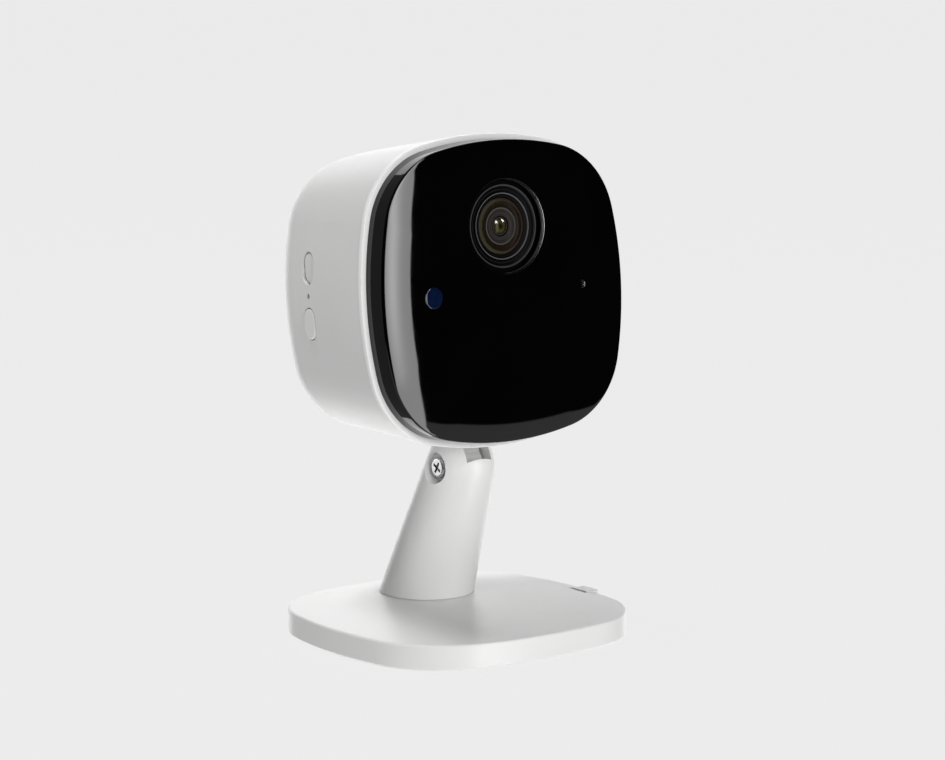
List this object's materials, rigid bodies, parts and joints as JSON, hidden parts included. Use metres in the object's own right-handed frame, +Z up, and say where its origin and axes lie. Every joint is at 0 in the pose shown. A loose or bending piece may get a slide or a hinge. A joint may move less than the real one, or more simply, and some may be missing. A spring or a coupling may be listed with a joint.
{
  "type": "security camera",
  "caption": "Indoor security camera: rounded white head with a glossy black front and a lens, tilting on a leaning stem that swivels on a rounded square foot.",
  "frame": {"origin": "centre of the foot's underside, on the surface it stands on", "axes": "+Z up, -Y the way the lens looks, +X to the right of the camera seen from the front"},
  "size_m": [0.0631, 0.0592, 0.1011],
  "materials": {
    "white_plastic": "fine satin moulded white",
    "grey_plastic": "satin moulded light grey",
    "pad_rubber": "matt dark rubber",
    "steel": "bright zinc plated",
    "spring_steel": "plain spring steel",
    "gloss_black": "polished black, passes infrared light",
    "window_blue": "polished dark blue",
    "black_plastic": "satin black",
    "speaker_film": "thin black film",
    "circuit_board": "green solder mask",
    "switch_plastic": "black switch body",
    "led_lens": "dark tinted resin",
    "lens_glass": "coated optical glass",
    "sensor_face": "sensor under cover glass",
    "tinned_shield": "tinned sheet",
    "heat_aluminium": "plain aluminium"
  },
  "bodies": {
    "base": {"base_cover": "white_plastic", "wall_plate": "grey_plastic", "anti_slip_pad": "pad_rubber", "bottom_plate": "grey_plastic", "ballast_plate": "steel", "base_screws": "steel", "swivel_bush": "grey_plastic"},
    "release_tab": {"release_tab": "white_plastic"},
    "stem": {"stem": "white_plastic", "stem_hub": "grey_plastic", "swivel_washer": "steel", "swivel_screw": "steel", "pivot_screw": "steel", "pivot_nut": "steel", "friction_washer_left": "spring_steel", "friction_washer_right": "spring_steel"},
    "head": {"housing": "white_plastic", "front_cover": "gloss_black", "front_frame": "black_plastic", "frame_screws": "steel", "led_board": "circuit_board", "infrared_leds": "led_lens", "light_sensor": "black_plastic", "light_sensor_window": "window_blue", "microphone": "black_plastic", "microphone_boot": "pad_rubber", "main_board": "circuit_board", "processor_shield": "tinned_shield", "thermal_pad": "pad_rubber", "heat_plate": "heat_aluminium", "image_sensor": "sensor_face", "lens_holder": "black_plastic", "infrared_filter": "lens_glass", "lens_barrel": "black_plastic", "front_lens": "lens_glass", "middle_lens": "lens_glass", "rear_lens": "lens_glass", "front_spacer": "black_plastic", "rear_spacer": "black_plastic", "lens_bezel": "black_plastic", "button_board": "circuit_board", "sync_switch": "switch_plastic", "power_switch": "switch_plastic", "reset_switch": "switch_plastic", "usb_socket": "steel", "usb_tongue": "black_plastic", "rear_board": "circuit_board", "speaker": "black_plastic", "speaker_cone": "speaker_film", "speaker_gasket": "pad_rubber", "wifi_antenna": "circuit_board", "tilt_lug": "grey_plastic", "lug_screws": "steel"},
    "sync_button": {"sync_button": "white_plastic"},
    "power_button": {"power_button": "white_plastic"}
  },
  "joints": [
    {"name": "pan", "type": "hinge", "parent": "base", "child": "stem", "pos_m": [0, 0.0102, 0.0072], "axis": [0, 0, 1], "range_deg": [-170, 170]},
    {"name": "tilt", "type": "hinge", "parent": "stem", "child": "head", "pos_m": [0, -0.0014, 0.0347], "axis": [1, 0, 0], "range_deg": [-20, 50]},
    {"name": "sync_press", "type": "slide", "parent": "head", "child": "sync_button", "axis": [1, 0, 0], "range_m": [0, 0.0004], "stiffness_N_per_m": 1500},
    {"name": "power_press", "type": "slide", "parent": "head", "child": "power_button", "axis": [1, 0, 0], "range_m": [0, 0.0004], "stiffness_N_per_m": 1500},
    {"name": "tab_press", "type": "slide", "parent": "base", "child": "release_tab", "axis": [-1, 0, 0], "range_m": [0, 0.0004], "stiffness_N_per_m": 1500}
  ]
}
